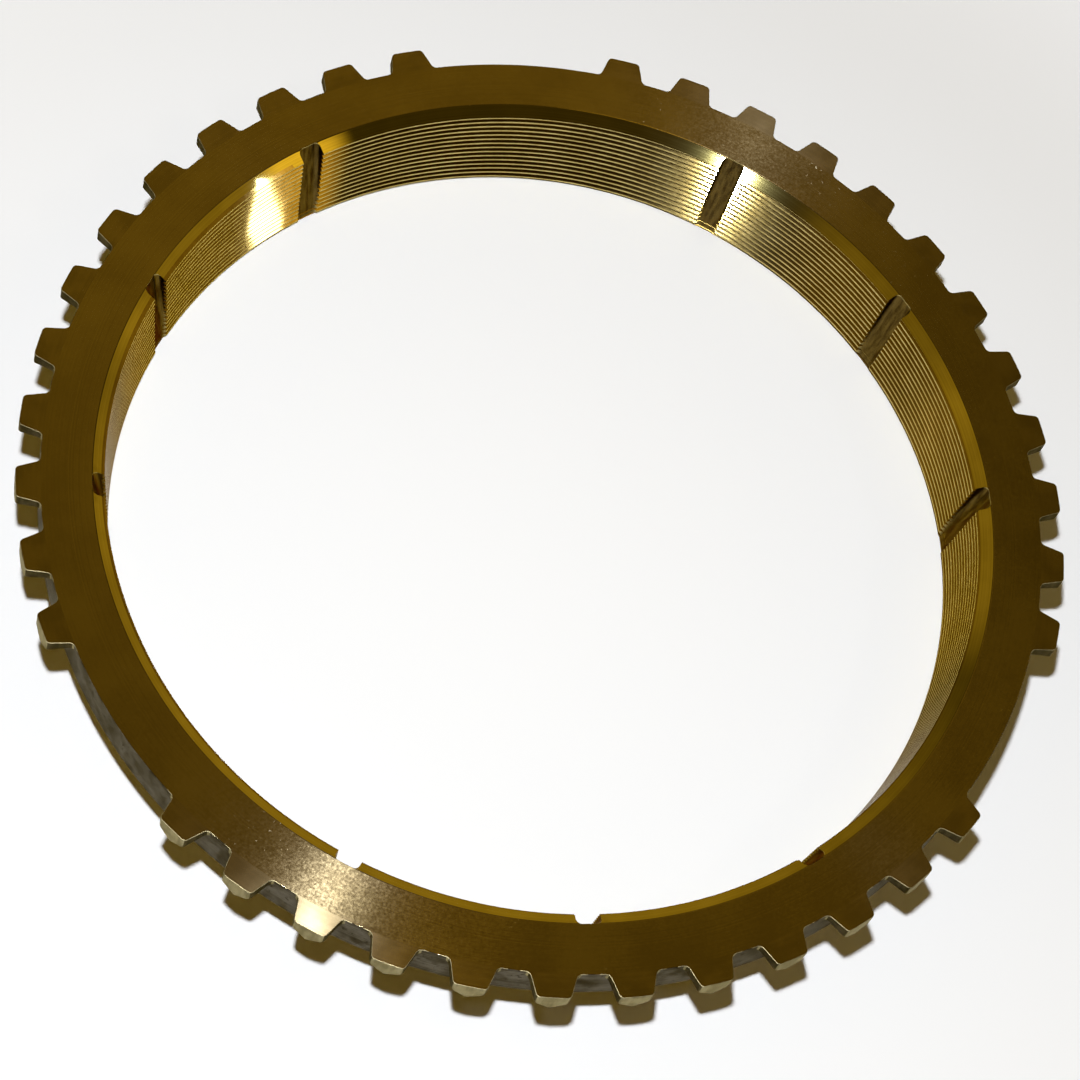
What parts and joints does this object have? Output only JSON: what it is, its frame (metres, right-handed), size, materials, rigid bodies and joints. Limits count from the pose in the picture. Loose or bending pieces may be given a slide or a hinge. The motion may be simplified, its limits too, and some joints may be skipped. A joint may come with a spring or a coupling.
{
  "type": "synchronizer ring",
  "caption": "Brass synchronizer ring with a conical friction bore, axial oil grooves and a flange of pointed locking teeth broken by plain arcs.",
  "frame": {"origin": "on the ring's axis, in the plane of the back face that the ring lies on", "axes": "+Z along the ring's axis from the back face to the toothed front face, +Y through the middle of one plain arc"},
  "size_m": [0.09, 0.089, 0.0095],
  "materials": {
    "brass": "turned, satin"
  },
  "bodies": {
    "root": {"synchronizer_ring": "brass"}
  },
  "joints": []
}
